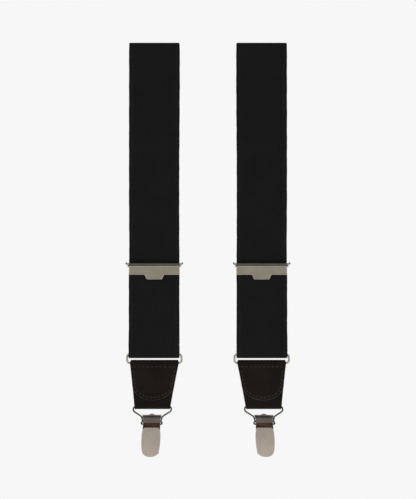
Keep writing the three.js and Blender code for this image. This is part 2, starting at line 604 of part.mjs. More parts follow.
function clip(name, lean) {
  const group = new THREE.Group();
  const drop = TAB_LENGTH + BAIL_TO_CLIP;
  group.position.set(-lean * drop, 0, -drop);
  const pinHalf = EAR_INSIDE + EAR_SHEET + 0.6;
  const frontLow = TONGUE_THICK / 2 + CLEAR - TONGUE_FORWARD;
  const backHigh = HOOD_RADIUS - SHEET - CLEAR;
  const padGap = (backHigh - frontLow - CLEAR) / 2;
  group.add(
    piece(`${name}_clip_body`, clipBody(), nickel),
    piece(`${name}_clip_pin`, rod(PIN_WIRE / 2, -pinHalf, pinHalf, -PIN_FORWARD, -PIN_DROP), wire),
    piece(`${name}_clip_cover`, clipCover(), nickel),
    piece(`${name}_clip_tongue`, clipTongue(), nickel),
    piece(`${name}_front_grip`, gripPad(frontLow, frontLow + Math.min(PAD_THICK, padGap), 1), plastic),
    piece(`${name}_back_grip`, gripPad(backHigh - Math.min(PAD_THICK, padGap), backHigh, -1), plastic),
  );
  return group;
}

/** Everything that hangs from a strap: ring, leather tab, bail and clip. */
function strapEnd(name, lean) {
  const end = new THREE.Group();
  const hung = new THREE.Group();
  hung.position.z = -RING_PITCH;
  hung.add(
    leaning(piece(`${name}_leather_tab`, leatherTab(), leather), lean),
    leaning(piece(`${name}_bail`, bail(), wire), lean),
    clip(name, lean),
  );
  end.add(piece(`${name}_ring`, ring(), wire), hung);
  return end;
}

// ---- the whole pair -----------------------------------------------------------------------
const suspenders = new THREE.Group();
for (const [name, side] of [['left', -1], ['right', 1]]) {
  const end = strapEnd(name, -side * LEAN_OUT);
  end.position.set(side * STRAP_X, WRAP_RADIUS, -RUN_TO_RING);
  suspenders.add(
    piece(`${name}_strap`, frontStrap(side), webbing),
    piece(`${name}_strap_tail`, strapTail(side), webbing),
    adjuster(name, side),
    end,
  );
}

const rearEnd = strapEnd('rear', 0);
rearEnd.position.set(0, BACK_Y - WRAP_RADIUS, -RUN_TO_RING);
rearEnd.rotation.z = Math.PI;
const patchGap = WEB_THICK / 2 + CLEAR;
suspenders.add(
  piece('rear_strap', rearStrap(), webbing),
  piece('back_patch_outer', patchLayer(BACK_Y + patchGap), leather),
  piece('back_patch_inner', patchLayer(BACK_Y - patchGap - PATCH_THICK), leather),
  rearEnd,
);

export default suspenders;
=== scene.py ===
# Clip-on Y-back suspenders with leather ends, folded and hung over a display stand.
# Lengths are in millimetres until make() turns them into metres. The origin is the middle of the
# top of the front folds, the front faces -Y and +Z is up.
import math

import bpy
import numpy as np
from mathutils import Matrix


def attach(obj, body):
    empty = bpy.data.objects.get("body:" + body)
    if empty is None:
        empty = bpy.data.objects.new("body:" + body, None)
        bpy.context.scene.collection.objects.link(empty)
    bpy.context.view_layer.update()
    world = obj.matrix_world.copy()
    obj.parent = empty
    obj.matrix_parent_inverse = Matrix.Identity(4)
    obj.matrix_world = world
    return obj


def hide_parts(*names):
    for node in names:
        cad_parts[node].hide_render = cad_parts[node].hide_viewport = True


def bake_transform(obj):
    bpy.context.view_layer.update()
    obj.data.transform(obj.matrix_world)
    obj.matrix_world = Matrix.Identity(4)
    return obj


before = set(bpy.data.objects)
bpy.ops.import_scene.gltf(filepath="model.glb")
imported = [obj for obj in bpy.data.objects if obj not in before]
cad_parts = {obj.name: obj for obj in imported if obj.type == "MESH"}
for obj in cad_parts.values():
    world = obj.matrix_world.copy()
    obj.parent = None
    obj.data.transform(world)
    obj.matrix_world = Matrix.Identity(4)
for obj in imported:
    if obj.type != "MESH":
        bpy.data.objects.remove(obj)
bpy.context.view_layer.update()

MM = 0.001
PI = math.pi

# ---- driving dimensions, as in the solid model -------------------------------------------------
STRAP_X = 37.3                # middle of a front strap
WEB_HALF = 17.5
WEB_THICK = 1.5
WEB_ROUND = 0.7               # radius of the webbing's edges
WEB_COLUMNS = 28              # points across each face of the webbing
WRAP_RADIUS = 1.75            # of the webbing round a ring's bar
RING_BAR_Z = -216.0           # middle of the ring's upper bar
FOLD_RADIUS = 3.0
FOLD_Z = -3.35                # middle of the folds' arcs; the soft webbing stands 0.4 proud
HIDDEN_Z = -202.0             # middle of the bottom loop behind the bar
RUN_2, RUN_3, BACK_Y = 17.5, 23.5, 31.5
BEND_ANGLE = math.radians(29)
BEND_RADIUS = 90 / math.sin(BEND_ANGLE)
BEND_Z = -8.0
SEAM_Z = -121.0
PATCH_TOP, PATCH_BOTTOM = -78.0, -142.0
PATCH_THICK = 1.2
PATCH_OUTER_Y, PATCH_INNER_Y = 33.15, 29.85
PATCH_PRESSED = 0.3           # how far its layers are pressed together beside the straps
ADJUSTER_Z = -153.6
RING_PITCH = 6.6              # ring's upper bar to its lower bar
TAB_LENGTH = 30.0             # ring's lower bar to the bail's bar
BAIL_TO_CLIP = 12.3
LEAN = 0.045                  # sideways per millimetre down, at the two front ends
SHEET = 0.8


# ---- numbers to meshes --------------------------------------------------------------------------
def line(start, end, step=3.0):
    """Points from start to end, end left out, no further apart than step."""
    start, end = np.array(start, float), np.array(end, float)
    count = max(1, int(np.ceil(np.linalg.norm(end - start) / step)))
    share = np.arange(count)[:, None] / count
    return start + (end - start) * share


def arc(centre, radius, first, last, steps=12, tall=1.0):
    """Points on a circle from angle first to angle last, both ends in; tall stretches it upright."""
    angle = np.linspace(first, last, steps + 1)
    return np.stack([centre[0] + radius * np.cos(angle), centre[1] + tall * radius * np.sin(angle)], 1)


def distance_along(points):
    """Running length of a path."""
    gaps = np.linalg.norm(np.diff(points, axis=0), axis=1)
    return np.concatenate([[0], np.cumsum(gaps)])


def close_ends(points, depth):
    """Adds rows near both ends of a path, so that an end can be rounded over that depth."""
    s = distance_along(points)
    near = depth * np.array([0.03, 0.12, 0.3, 0.6, 1.0])
    wanted = np.unique(np.round(np.concatenate([s, near, s[-1] - near]), 6))
    return np.stack([np.interp(wanted, s, points[:, i]) for i in range(points.shape[1])], 1)


def rounding(points, depth):
    """From 0 at both ends of a path to 1 at depth from them, along a quarter circle."""
    s = distance_along(points)
    inside = np.clip(np.minimum(s, s[-1] - s) / depth, 0, 1)
    return np.sqrt(np.clip(1 - (1 - inside) ** 2, 0.0004, 1))


def tangents(points, closed=False):
    """Unit directions along a path: the mean of the steps before and after each point."""
    if closed:
        steps = np.roll(points, -1, axis=0) - np.roll(points, 1, axis=0)
    else:
        steps = np.gradient(points, axis=0)
    return steps / np.maximum(np.linalg.norm(steps, axis=1, keepdims=True), 1e-12)


def slab_section(columns):
    """A slab's section as a loop: share of the flat part, and the rounded edges' cosine and sine."""
    flat = np.linspace(-1, 1, columns)
    turn = np.linspace(0.5 * PI, -0.5 * PI, 7)[1:-1]
    share = np.concatenate([flat, np.ones(5), flat[::-1], -np.ones(5)])
    out = np.concatenate([np.zeros(columns), np.cos(turn), np.zeros(columns), -np.cos(turn)])
    up = np.concatenate([np.ones(columns), np.sin(turn), -np.ones(columns), -np.sin(turn)])
    side = np.where(up > 0.001, 1.0, np.where(up < -0.001, -1.0, 0.0))
    return share, out, up, side


def strip(path, across, normal, half, thick, edge, columns=20, ends=0.3):
    """Grid of a flat strip. Each point of the path carries a slab section: half to each side along
    across, thick along normal, its edges rounded to radius edge. Both ends thin out to a round
    over the length ends. Gives the grid and, for each vertex, its place across and along."""
    share, out, up, side = slab_section(columns)
    thin = rounding(path, ends) if ends else np.ones(len(path))
    half = (np.broadcast_to(half, (len(path),)) - ends * (1 - thin) * 0.5)[:, None]
    thick = (np.broadcast_to(thick, (len(path),)) * thin)[:, None]
    edge = np.minimum(np.minimum(edge, thick / 2), half * 0.9)
    x = share * (half - edge) + out * edge
    b = side * (thick / 2 - edge) + up * edge
    grid = path[:, None] + x[..., None] * across[:, None] + b[..., None] * normal[:, None]
    along = np.broadcast_to(distance_along(path)[:, None], x.shape)
    return grid, np.stack([x, along], -1)


def tube(path, radius, plane, closed=False, sides=14):
    """Grid of a round wire along a flat path whose plane has the given normal. Open ends are
    rounded to a half ball."""
    path = np.asarray(path, float)
    if not closed:
        path = close_ends(path, radius)
    along = tangents(path, closed)
    plane = np.array(plane, float)
    out = np.cross(plane, along)
    angle = np.arange(sides) * 2 * PI / sides
    size = radius * (np.ones(len(path)) if closed else rounding(path, radius))
    ring = np.cos(angle)[:, None] * out[:, None] + np.sin(angle)[:, None] * plane
    return path[:, None] + size[:, None, None] * ring


def slab(outline, low, high, edge, basis):
    """Grid of a plate: a closed outline, counter-clockwise, raised from low to high, with its rims
    rounded to radius edge. Basis gives the three directions of outline x, outline y and height."""
    ahead = np.roll(outline, -1, axis=0) - np.roll(outline, 1, axis=0)
    ahead /= np.maximum(np.linalg.norm(ahead, axis=1, keepdims=True), 1e-12)
    inward = np.stack([-ahead[:, 1], ahead[:, 0]], 1)
    turn = np.linspace(0, PI / 2, 4)
    inset = edge * np.concatenate([1 - np.sin(turn), (1 - np.sin(turn))[::-1]])
    height = np.concatenate([low + edge * (1 - np.cos(turn)), high - edge * (1 - np.cos(turn))[::-1]])
    flat = outline + inset[:, None, None] * inward
    basis = np.array(basis, float)
    return flat @ basis[:2] + height[:, None, None] * basis[2]


def smooth_loop(corners, radius, steps=6):
    """A closed outline with each corner rounded: a parabola from radius before it to radius after."""
    corners = np.array(corners, float)
    before, after = np.roll(corners, 1, axis=0) - corners, np.roll(corners, -1, axis=0) - corners
    radius = np.broadcast_to(radius, (len(corners),))[:, None]
    longest = 0.499

    def reach(side):
        length = np.linalg.norm(side, axis=1, keepdims=True)
        return side / length * np.minimum(radius, longest * length)

    start, end = corners + reach(before), corners + reach(after)
    t = np.linspace(0, 1, steps + 1)[None, :, None]
    curve = (1 - t) ** 2 * start[:, None] + 2 * t * (1 - t) * corners[:, None] + t ** 2 * end[:, None]
    return curve.reshape(-1, corners.shape[1])


def smooth_line(corners, radius, steps=8):
    """An open path with its inner corners rounded in the same way."""
    corners = np.array(corners, float)
    loop = smooth_loop(corners, radius, steps).reshape(len(corners), steps + 1, -1)
    return np.concatenate([corners[:1], loop[1:-1].reshape(-1, corners.shape[1]), corners[-1:]])


def make(name, grids, body, material, uv=None, closed=False, sharp=50, replaces=()):
    """One object from closed grids in millimetres. Each grid is rows of section loops; an open one
    gets a face over each end. Faces are turned outwards by the sign of the volume. Shading is
    smooth, but for edges sharper than the angle sharp."""
    vertices, faces, places = [], [], []
    start = 0
    for grid in grids if isinstance(grids, list) else [grids]:
        rows, count = grid.shape[:2]
        index = start + np.arange(rows * count).reshape(rows, count)
        beside = np.roll(index, -1, axis=1)
        if closed:
            near, far = index, np.roll(index, -1, axis=0)
            near_beside, far_beside = beside, np.roll(beside, -1, axis=0)
        else:
            near, far = index[:-1], index[1:]
            near_beside, far_beside = beside[:-1], beside[1:]
        quads = np.stack([near, near_beside, far_beside, far], -1).reshape(-1, 4)
        flat = grid.reshape(-1, 3)
        corner = flat[quads - start]
        spread = np.cross(corner[:, 2] - corner[:, 0], corner[:, 3] - corner[:, 1])
        middle = flat.mean(0)
        outward = float(np.sum((corner.mean(1) - middle) * spread)) > 0
        if not outward:
            quads = quads[:, ::-1]
        faces += quads.tolist()
        if not closed:
            first, last = index[0].tolist(), index[-1].tolist()
            faces += [first[::-1], last] if outward else [first, last[::-1]]
        vertices.append(flat)
        if uv is not None:
            places.append(uv.reshape(-1, 2))
        start += rows * count
    mesh = bpy.data.meshes.new(name)
    mesh.from_pydata(np.concatenate(vertices) * MM, [], faces)
    if uv is not None:
        layer = mesh.uv_layers.new(name="cloth")
        corners = np.empty(len(mesh.loops), np.int32)
        mesh.loops.foreach_get("vertex_index", corners)
        layer.data.foreach_set("uv", (np.concatenate(places) * MM)[corners].astype(np.float32).ravel())
    mesh.shade_smooth()
    mesh.set_sharp_from_angle(angle=math.radians(sharp))
    thing = bpy.data.objects.new(name, mesh)
    bpy.context.scene.collection.objects.link(thing)
    mesh.materials.append(material)
    if body:
        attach(thing, body)
    if replaces:
        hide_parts(*replaces)
    return thing


# ---- materials ----------------------------------------------------------------------------------
MATH, RAMP = "ShaderNodeMath", "ShaderNodeValToRGB"


def colour(code):
    """An sRGB hex value as linear RGBA."""
    value = np.array([int(code[i:i + 2], 16) for i in (1, 3, 5)]) / 255
    linear = np.where(value <= 0.04045, value / 12.92, ((value + 0.055) / 1.055) ** 2.4)
    return (*linear.tolist(), 1.0)


def connect(tree, node, sockets):
    """Sets inputs of a node: a socket, or a node's first output, is linked; anything else is the
    input's own value."""
    for key, value in sockets.items():
        if isinstance(value, bpy.types.Node):
            value = value.outputs[0]
        if isinstance(value, bpy.types.NodeSocket):
            tree.links.new(value, node.inputs[key])
        else:
            node.inputs[key].default_value = value


def add(tree, kind, sockets=(), stops=(), **settings):
    """A node with its settings, input values and links. Sockets go by name, or in order; stops are
    the places and colours of a colour ramp."""
    node = tree.nodes.new(kind)
    for key, value in settings.items():
        setattr(node, key, value)
    connect(tree, node, sockets if isinstance(sockets, dict) else dict(enumerate(sockets)))
    if stops:
        elements = node.color_ramp.elements
        while len(elements) < len(stops):
            elements.new(0.5)
        for element, (place, value) in zip(elements, stops):
            element.position = place
            element.color = value
    return node


def blank(name):
    """A new material with its Principled shader."""
    material = bpy.data.materials.new(name)
    material.use_nodes = True
    tree = material.node_tree
    return material, tree, tree.nodes["Principled BSDF"]


def elastic_webbing(name, dark, light):
    """Woven elastic: black polyester yarn over rubber cores. Dull and nearly black, with fine ribs
    across it in narrow columns, and a thicker woven edge."""
    material, tree, shader = blank(name)
    place = add(tree, "ShaderNodeUVMap", uv_map="cloth").outputs["UV"]
    split = add(tree, "ShaderNodeSeparateXYZ", {"Vector": place}).outputs
    column = 1.1 * MM          # warp yarns over one rubber core
    rib = 0.9 * MM             # weft ribs are 0.45 mm apart; drawn at 0.9 so that they show
    wide = add(tree, MATH, (split["X"], column), operation="DIVIDE")
    along = add(tree, MATH, (split["Y"], rib), operation="DIVIDE")
    # ribs: the absolute sine of the place along, half a rib further in every other column
    shifted = add(tree, MATH, (wide,), operation="FLOOR")
    shifted = add(tree, MATH, (shifted, 0.5), operation="MULTIPLY")
    shifted = add(tree, MATH, (along, shifted), operation="ADD")
    wave = add(tree, MATH, (shifted, PI), operation="MULTIPLY")
    wave = add(tree, MATH, (wave,), operation="SINE")
    yarn = add(tree, MATH, (wave,), operation="ABSOLUTE")
    # columns: the absolute sine of the place across, rounded off by a power
    core = add(tree, MATH, (wide, PI), operation="MULTIPLY")
    core = add(tree, MATH, (core,), operation="SINE")
    core = add(tree, MATH, (core,), operation="ABSOLUTE")
    core = add(tree, MATH, (core, 0.6), operation="POWER")
    weave = add(tree, MATH, (yarn, core), operation="MULTIPLY")
    # edge cord: 1 on a line 2 mm in from either edge, falling to 0 over 0.45 mm to each side
    out = add(tree, MATH, (split["X"],), operation="ABSOLUTE")
    from_cord = add(tree, MATH, ((WEB_HALF - 2.0) * MM, out), operation="SUBTRACT")
    from_cord = add(tree, MATH, (from_cord,), operation="ABSOLUTE")
    share = add(tree, MATH, (from_cord, 0.45 * MM), operation="DIVIDE")
    share = add(tree, MATH, (share, 1.0), operation="MINIMUM")
    cord = add(tree, MATH, (1.0, share), operation="SUBTRACT")
    raised = add(tree, MATH, (cord, 0.7), operation="MULTIPLY")
    height = add(tree, MATH, (weave, raised), operation="ADD")
    slow = add(tree, "ShaderNodeTexNoise", {"Vector": place, "Scale": 60.0, "Detail": 4.0})
    fuzz = add(tree, "ShaderNodeTexNoise", {"Vector": place, "Scale": 2600.0, "Detail": 2.0})
    mixed = add(tree, MATH, (weave, 0.45), operation="MULTIPLY")
    for part, share in ((slow.outputs["Fac"], 0.25), (fuzz.outputs["Fac"], 0.2), (cord, 0.35)):
        mixed = add(tree, MATH, (part, share, mixed), operation="MULTIPLY_ADD")
    tone = add(tree, RAMP, (mixed,), ((0.1, colour(dark)), (0.95, colour(light))))
    bump = add(tree, "ShaderNodeBump", {"Height": height, "Strength": 0.6, "Distance": 0.25 * MM})
    connect(tree, shader, {"Base Color": tone, "Roughness": 0.95, "Normal": bump,
                           "Specular IOR Level": 0.12, "Sheen Weight": 0.03, "Sheen Roughness": 0.5})
    return material


def black_leather(name, dark, light, gloss=0.5):
    """Full-grain cowhide, dyed through and finished: brown-black, with a fine pebbled grain, faint
    creases and a low shine."""
    material, tree, shader = blank(name)
    place = add(tree, "ShaderNodeTexCoord").outputs["Object"]
    pebble = add(tree, "ShaderNodeTexVoronoi", {"Vector": place, "Scale": 1 / (0.55 * MM)},
                 feature="DISTANCE_TO_EDGE")
    crease = add(tree, "ShaderNodeTexNoise",
                 {"Vector": place, "Scale": 260.0, "Detail": 6.0, "Roughness": 0.6})
    cloud = add(tree, "ShaderNodeTexNoise", {"Vector": place, "Scale": 70.0, "Detail": 3.0})
    grain = add(tree, MATH, (pebble.outputs["Distance"], 5.0), operation="MULTIPLY")
    grain = add(tree, MATH, (grain, 1.0), operation="MINIMUM")
    crease = crease.outputs["Fac"]
    height = add(tree, MATH, (grain, 0.35, crease), operation="MULTIPLY_ADD")
    mixed = add(tree, MATH, (crease, 0.3), operation="MULTIPLY")
    mixed = add(tree, MATH, (cloud.outputs["Fac"], 0.7, mixed), operation="MULTIPLY_ADD")
    tone = add(tree, RAMP, (mixed,), ((0.3, colour(dark)), (0.7, colour(light))))
    rough = add(tree, MATH, (crease, 0.2, gloss - 0.08), operation="MULTIPLY_ADD")
    bump = add(tree, "ShaderNodeBump", {"Height": height, "Strength": 0.35, "Distance": 0.2 * MM})
    connect(tree, shader, {"Base Color": tone, "Roughness": rough, "Normal": bump,
                           "Specular IOR Level": 0.11})
    return material


def plated_metal(name, dark, light, rough, brush=(1.0, 1.0, 1.0), scratch=0.25):
    """Nickel plate on pressed steel. Brush gives how much finer the polishing lines are along each
    direction; with equal numbers the finish is tumbled and even."""
    material, tree, shader = blank(name)
    place = add(tree, "ShaderNodeTexCoord").outputs["Object"]
    drawn = add(tree, "ShaderNodeMapping", {"Vector": place, "Scale": brush}).outputs["Vector"]
    lines = add(tree, "ShaderNodeTexNoise",
                {"Vector": drawn, "Scale": 900.0, "Detail": 3.0, "Roughness": 0.7})
    smear = add(tree, "ShaderNodeTexNoise", {"Vector": place, "Scale": 160.0, "Detail": 4.0})
    lines = lines.outputs["Fac"]
    mixed = add(tree, MATH, (smear.outputs["Fac"], 0.45), operation="MULTIPLY")
    mixed = add(tree, MATH, (lines, 0.55, mixed), operation="MULTIPLY_ADD")
    tone = add(tree, RAMP, (mixed,), ((0.3, colour(dark)), (0.7, colour(light))))
    uneven = add(tree, MATH, (mixed, 0.12, rough - 0.06), operation="MULTIPLY_ADD")
    bump = add(tree, "ShaderNodeBump", {"Height": lines, "Strength": scratch, "Distance": 0.03 * MM})
    connect(tree, shader, {"Base Color": tone, "Metallic": 1.0, "Roughness": uneven, "Normal": bump})
    return material


def moulded_plastic(name, dark, light):
    """Injection-moulded polyethylene: ivory, waxy, with a faint moulding texture."""
    material, tree, shader = blank(name)
    place = add(tree, "ShaderNodeTexCoord").outputs["Object"]
    speck = add(tree, "ShaderNodeTexNoise", {"Vector": place, "Scale": 1500.0, "Detail": 3.0})
    speck = speck.outputs["Fac"]
    tone = add(tree, RAMP, (speck,), ((0.3, colour(dark)), (0.7, colour(light))))
    bump = add(tree, "ShaderNodeBump", {"Height": speck, "Strength": 0.2, "Distance": 0.05 * MM})
    connect(tree, shader, {"Base Color": tone, "Roughness": 0.45, "Normal": bump,
                           "Subsurface Weight": 0.1, "Subsurface Scale": 0.001})
    return material


def waxed_thread(name, dark, light):
    """Bonded nylon thread: black-brown, a little shinier than the leather, with a twist."""
    material, tree, shader = blank(name)
    place = add(tree, "ShaderNodeTexCoord").outputs["Object"]
    twist = add(tree, "ShaderNodeTexNoise", {"Vector": place, "Scale": 3000.0, "Detail": 1.0})
    twist = twist.outputs["Fac"]
    tone = add(tree, RAMP, (twist,), ((0.3, colour(dark)), (0.7, colour(light))))
    bump = add(tree, "ShaderNodeBump", {"Height": twist, "Strength": 0.4, "Distance": 0.1 * MM})
    connect(tree, shader, {"Base Color": tone, "Roughness": 0.5, "Normal": bump,
                           "Specular IOR Level": 0.35})
    return material


def painted_wood(name, code, glow=0.0, own=1.0):
    """Lacquered board of the stand and floor: plain, pale and matt. Glow lifts its shadows; own is
    the share of its colour that takes light."""
    material, tree, shader = blank(name)
    place = add(tree, "ShaderNodeTexCoord").outputs["Object"]
    speck = add(tree, "ShaderNodeTexNoise", {"Vector": place, "Scale": 400.0, "Detail": 2.0})
    bump = add(tree, "ShaderNodeBump",
               {"Height": speck.outputs["Fac"], "Strength": 0.05, "Distance": 0.1 * MM})
    lit = [own * value for value in colour(code)[:3]]
    connect(tree, shader, {"Base Color": (*lit, 1.0), "Roughness": 0.9, "Normal": bump,
                           "Specular IOR Level": 0.1 * own,
                           "Emission Color": colour(code), "Emission Strength": glow})
    return material


webbing = elastic_webbing("woven polyester elastic", "#121212", "#2e2e2e")
leather = black_leather("finished black cowhide", "#171310", "#26201b")
# lighter leather for the bead along the flap's edge: a painted highlight
edge_highlight_leather = black_leather("leather edge with painted highlight", "#3b332c", "#574b41", 0.42)
brushed = plated_metal("brushed satin nickel plate", "#aea394", "#cabeae", 0.36, (0.04, 1.0, 1.6), 0.35)
# satin plating of the cover, channel and tongue; on the lever's rims its lighter tone is a painted highlight
satin = plated_metal("tumbled satin nickel plate, also painted rim highlight", "#d0c3b5", "#e0d3c5", 0.34)
bright = plated_metal("bright nickel plated wire", "#c8c0b2", "#e4ddd0", 0.2, scratch=0.1)
gunmetal = plated_metal("darkened nickel wire", "#4d473e", "#736c60", 0.28, scratch=0.15)
# the same nickel painted darker: painted shade on the lever's curl and the clip's hood and ears
shade_painted_plate = plated_metal("nickel plate painted darker as shade", "#716a63", "#938a81", 0.3, (0.1, 1.0, 1.0), 0.2)
# dark brown steel for the hollow behind the clip's cover: painted shade
shade_painted_steel = plated_metal("steel behind the cover painted dark brown as shade", "#5d4a3d", "#7d6556", 0.4, scratch=0.3)
ivory = moulded_plastic("moulded ivory polyethylene", "#cfcabb", "#e2ddcf")
thread = waxed_thread("waxed nylon thread", "#3a322b", "#5a5046")


# ---- webbing ------------------------------------------------------------------------------------
def side_path(points, x):
    """A side view (y, z) as a path at x, with its across and outward directions."""
    path = np.column_stack([np.full(len(points), x), points])
    along = tangents(path)
    across = np.broadcast_to([1.0, 0.0, 0.0], path.shape)
    return path, across, np.cross(across, along)


def strap_side_view():
    """Up the front, over the bar, down and up behind it, over again: lines and half circles."""
    run = [
        line((2 * WRAP_RADIUS, -209), (2 * WRAP_RADIUS, RING_BAR_Z), 2),
        arc((WRAP_RADIUS, RING_BAR_Z), WRAP_RADIUS, 0, -PI, 14, 1.3),
        line((0, RING_BAR_Z), (0, FOLD_Z))[1:],
        arc((FOLD_RADIUS, FOLD_Z), FOLD_RADIUS, PI, PI / 2, 8),
        arc((RUN_2 - FOLD_RADIUS, FOLD_Z), FOLD_RADIUS, PI / 2, 0, 8),
        line((RUN_2, FOLD_Z), (RUN_2, HIDDEN_Z))[1:],
        arc((RUN_2 + FOLD_RADIUS, HIDDEN_Z), FOLD_RADIUS, PI, 2 * PI, 16),
        line((RUN_3, HIDDEN_Z), (RUN_3, FOLD_Z))[1:],
        arc((RUN_3 + FOLD_RADIUS, FOLD_Z), FOLD_RADIUS, PI, PI / 2, 8),
        arc((BACK_Y - FOLD_RADIUS, FOLD_Z), FOLD_RADIUS, PI / 2, 0, 8),
        line((BACK_Y, FOLD_Z), (BACK_Y, BEND_Z))[1:],
    ]
    return np.concatenate(run)


# x of the right front run's outer and inner edge by drop; the webbing isn't quite even
FRONT_DROP = [0, 25, 53, 81, 109, 137, 147, 160, 178, 200, 212, 220]
FRONT_OUTER = [54.9, 54.9, 54.95, 54.95, 54.95, 54.8, 54.75, 55.05, 55.1, 55.1, 55.3, 55.3]
FRONT_INNER = [19.6, 19.55, 19.7, 19.9, 19.95, 19.9, 19.85, 19.75, 20.05, 20.05, 20.0, 20.0]


def strap(name, side):
    """The side view, then the run that bends in to the patch along a circle and a straight end."""
    path, across, normal = side_path(strap_side_view(), side * STRAP_X)
    angle = np.linspace(0, BEND_ANGLE, 40)
    inward = BEND_RADIUS * (1 - np.cos(angle))
    bend_x, bend_z = STRAP_X - inward, BEND_Z - BEND_RADIUS * np.sin(angle)
    straight = np.arange(1, 27)[:, None] * np.array([-math.sin(BEND_ANGLE), -math.cos(BEND_ANGLE)])
    run = np.concatenate([np.column_stack([bend_x, bend_z]), [bend_x[-1], bend_z[-1]] + straight])
    lean = np.concatenate([angle, np.full(26, BEND_ANGLE)])
    back = np.column_stack([side * run[:, 0], np.full(len(run), BACK_Y), run[:, 1]])
    back_across = np.column_stack([np.cos(lean), np.zeros(len(run)), -side * np.sin(lean)])
    path = np.concatenate([path, back])
    across = np.concatenate([across, back_across])
    normal = np.concatenate([normal, np.broadcast_to([0.0, 1.0, 0.0], back.shape)])
    s = distance_along(path)
    # on the front run the soft webbing is drawn in above the adjuster and spreads below it
    front = path[:, 1] < WRAP_RADIUS
    outer = np.interp(-path[:, 2], FRONT_DROP, FRONT_OUTER)
    inner = np.interp(-path[:, 2], FRONT_DROP, FRONT_INNER)
    half = np.where(front, (outer - inner) / 2, WEB_HALF)
    path[:, 0] = np.where(front, side * (outer + inner) / 2, path[:, 0])
    half = half + 0.05 * np.sin(s / 3.1) + 0.04 * np.sin(s / 1.3 + side)
    grid, uv = strip(path, across, normal, half, WEB_THICK, WEB_ROUND, WEB_COLUMNS)
    low_x = 0.15              # half the gap left between the straps, which are cut along the middle
    under = grid[..., 1] > BACK_Y - 1
    grid[..., 0] = np.where(under & (side * grid[..., 0] < low_x), side * low_x, grid[..., 0])
    grid[..., 2] = np.where(under & (grid[..., 2] < SEAM_Z), SEAM_Z, grid[..., 2])
    web = make(name, grid, "harness", webbing, uv, replaces=[f"{name[:-8]}_strap"])


for name, side in (("left", -1), ("right", 1)):
    strap(f"{name}_webbing", side)

    # the sewn-back end, from the ring up to the adjuster's channel
    view = np.concatenate([line((3.5, -209.1), (2.9, -161.6), 1.5), line((2.9, -161.6), (2.9, -154.6), 1.5),
                           [[2.9, -154.6]]])
    path, across, normal = side_path(view, side * STRAP_X)
    half = np.interp(path[:, 2], [-209, -200, -166, -162], [17.55, 17.5, 17.4, 16.8])
    grid, uv = strip(path, across, normal, half, WEB_THICK, WEB_ROUND, WEB_COLUMNS, 0)
    tail = make(f"{name}_webbing_end", grid, None, webbing, uv, replaces=[f"{name}_strap_tail"])
    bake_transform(tail)

rear_view = np.concatenate([
    line((BACK_Y, SEAM_Z), (BACK_Y, RING_BAR_Z)),
    arc((BACK_Y - WRAP_RADIUS, RING_BAR_Z), WRAP_RADIUS, 0, -PI, 14),
    line((28.0, RING_BAR_Z), (28.0, -214.25), 1)[1:],
    line((28.0, -214.25), (29.7, -200.25), 1.5),
    line((29.7, -200.25), (29.7, -188.0), 2), [[29.7, -188.0]],
])
path, across, normal = side_path(rear_view, 0.0)
s = distance_along(path)
half = WEB_HALF + 0.06 * np.sin(s / 2.9) + 0.04 * np.sin(s / 1.2)
grid, uv = strip(path, across, normal, half, WEB_THICK, WEB_ROUND, WEB_COLUMNS)
rear_web = make("rear_webbing", grid, "harness", webbing, uv, replaces=["rear_strap"])


# ---- back patch ---------------------------------------------------------------------------------
def curve3(a, b, c, steps=16):
    """Parabola from a to c, drawn towards b."""
    t = np.linspace(0, 1, steps + 1)[:, None]
    return (1 - t) ** 2 * np.array(a) + 2 * t * (1 - t) * np.array(b) + t ** 2 * np.array(c)


patch_edge = np.concatenate([
    curve3((21, PATCH_TOP), (36, PATCH_TOP), (36, -93)),
    curve3((36, -93), (19.5, -117), (19.5, -137))[1:],
    curve3((19.5, -137), (19.5, PATCH_BOTTOM), (14.5, PATCH_BOTTOM))[1:],
])


def over_straps(x, z):
    """How far the leather stands out where the straps run under it: a smooth step at their edges."""
    angle_x = np.abs(x) * math.cos(BEND_ANGLE) - (z + 139) * math.sin(BEND_ANGLE)
    strap_here = 1 / (1 + np.exp((np.abs(angle_x) - WEB_HALF) * 2.0))
    rear_here = 1 / (1 + np.exp((np.abs(x) - WEB_HALF) * 2.0)) * (z < SEAM_Z)
    return 0.45 * np.maximum(strap_here, rear_here)


def patch(name, middle_y, facing):
    """A shield of leather: rows down it as wide as its outline, pressed down round the straps."""
    z = np.concatenate([PATCH_TOP - 15 * (1 - np.cos(np.linspace(0, PI / 2, 30))),
                        np.linspace(-93.8, -137, 56),
                        -137 - 5 * np.sin(np.linspace(0.05, PI / 2, 14))])
    half = np.interp(-z, -patch_edge[:, 1], patch_edge[:, 0])
    path = np.column_stack([np.zeros(len(z)), np.full(len(z), middle_y), z])
    across = np.broadcast_to([1.0, 0.0, 0.0], path.shape)
    normal = np.broadcast_to([0.0, 1.0, 0.0], path.shape)
    grid, _ = strip(path, across, normal, half, PATCH_THICK, 0.35, 60, 0.35)
    grid[..., 1] += facing * (over_straps(grid[..., 0], grid[..., 2]) - PATCH_PRESSED)
    make(name, grid, "harness", leather, replaces=[name[:-8]])


patch("back_patch_outer_leather", PATCH_OUTER_Y, 1)
patch("back_patch_inner_leather", PATCH_INNER_Y, -1)


